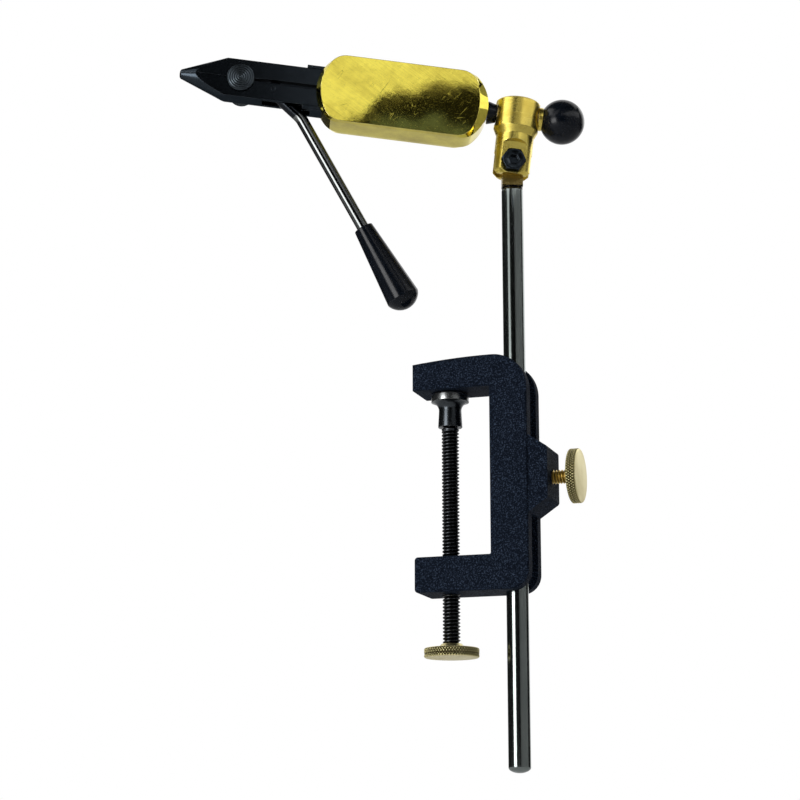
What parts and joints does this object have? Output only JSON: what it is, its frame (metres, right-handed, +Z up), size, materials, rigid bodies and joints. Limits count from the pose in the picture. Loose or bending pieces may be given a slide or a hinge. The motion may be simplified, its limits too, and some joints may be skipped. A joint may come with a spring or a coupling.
{
  "type": "fly tying vise",
  "caption": "Rotary fly tying vise: cam-lever split jaws on a brass body that rolls and tilts on a post, held in a C-clamp with a knurled screw.",
  "frame": {"origin": "middle of the underside of the clamp's upper arm, the face that presses on the table, on the clamp screw's axis", "axes": "+Z up along the post, +X from the clamp's mouth to the thumbscrew, +Y to the far side; the head stands swivelled 21.2 degrees about the post and tilted 6.6 degrees, jaws up"},
  "size_m": [0.1691, 0.0733, 0.3134],
  "materials": {
    "casting": "black crinkle-coated casting",
    "black_steel": "black oxide steel, satin",
    "polished_steel": "dark polished steel bar",
    "brass": "bright brass, finely brushed",
    "bronze": "turned bronze",
    "steel": "plain bright steel",
    "black_plastic": "moulded gloss black plastic"
  },
  "bodies": {
    "clamp": {"clamp_frame": "casting"},
    "pad": {"clamp_pad": "black_steel"},
    "screw": {"clamp_screw": "black_steel", "clamp_wheel": "brass"},
    "thumbscrew": {"thumbscrew_stem": "brass", "thumbscrew_disc": "brass"},
    "stem": {"post": "polished_steel", "pivot_tongue": "bronze"},
    "tilt_head": {"head": "brass", "pivot_screw": "black_steel", "pivot_nut": "black_steel", "spindle_bush": "bronze"},
    "rotary": {"spindle": "steel", "cone_spacer": "black_plastic", "body": "brass", "holder_set_screw": "black_steel", "spindle_set_screw": "black_steel", "jaw_holder": "black_steel", "lower_jaw": "black_steel", "jaw_dowel": "steel", "cam_pin": "steel", "jaw_spring": "steel"},
    "top_jaw": {"upper_jaw": "black_steel"},
    "jaw_pivot": {"jaw_pivot_pin": "black_steel", "jaw_adjust_knob": "black_steel"},
    "lever": {"cam": "steel", "lever_rod": "polished_steel", "lever_grip": "black_plastic"},
    "ball": {"ball_ferrule": "brass", "ball_knob": "black_plastic"}
  },
  "joints": [
    {"name": "post_slide", "type": "slide", "parent": "clamp", "child": "stem", "axis": [0, 0, 1], "range_m": [-0.008, 0.06]},
    {"name": "pad_slide", "type": "slide", "parent": "clamp", "child": "pad", "axis": [0, 0, 1], "range_m": [-0.055, 0]},
    {"name": "screw_turn", "type": "hinge", "parent": "pad", "child": "screw", "pos_m": [0, 0, 0], "axis": [0, 0, 1], "continuous": true},
    {"name": "thumbscrew_turn", "type": "hinge", "parent": "clamp", "child": "thumbscrew", "pos_m": [0.04575, 0, -0.0398], "axis": [1, 0, 0], "range_deg": [-540, 0]},
    {"name": "head_tilt", "type": "hinge", "parent": "stem", "child": "tilt_head", "pos_m": [0.0293, 0, 0.1017], "axis": [-0.3616, 0.9323, 0], "range_deg": [-15, 25]},
    {"name": "rotary_spin", "type": "hinge", "parent": "tilt_head", "child": "rotary", "pos_m": [0.03178, 0.00096, 0.12465], "axis": [0.9261, 0.3592, -0.1149], "continuous": true},
    {"name": "tension_knob_turn", "type": "hinge", "parent": "rotary", "child": "ball", "pos_m": [0.05047, 0.00821, 0.12233], "axis": [0.9261, 0.3592, -0.1149], "range_deg": [-360, 0]},
    {"name": "cam_lever", "type": "hinge", "parent": "rotary", "child": "lever", "pos_m": [-0.06952, -0.03833, 0.134], "axis": [-0.3616, 0.9323, 0], "range_deg": [0, 45]},
    {"name": "top_jaw_open", "type": "hinge", "parent": "rotary", "child": "top_jaw", "pos_m": [-0.08293, -0.04353, 0.13888], "axis": [-0.3616, 0.9323, 0], "range_deg": [0, 1.5]},
    {"name": "jaw_adjust", "type": "hinge", "parent": "rotary", "child": "jaw_pivot", "pos_m": [-0.08293, -0.04353, 0.13888], "axis": [-0.3616, 0.9323, 0], "range_deg": [-90, 90]}
  ],
  "couplings": [
    {"joint": "screw_turn", "follows": "pad_slide", "rad_per_m": 4188.8},
    {"joint": "top_jaw_open", "follows": "cam_lever", "ratio": 0.033333}
  ]
}
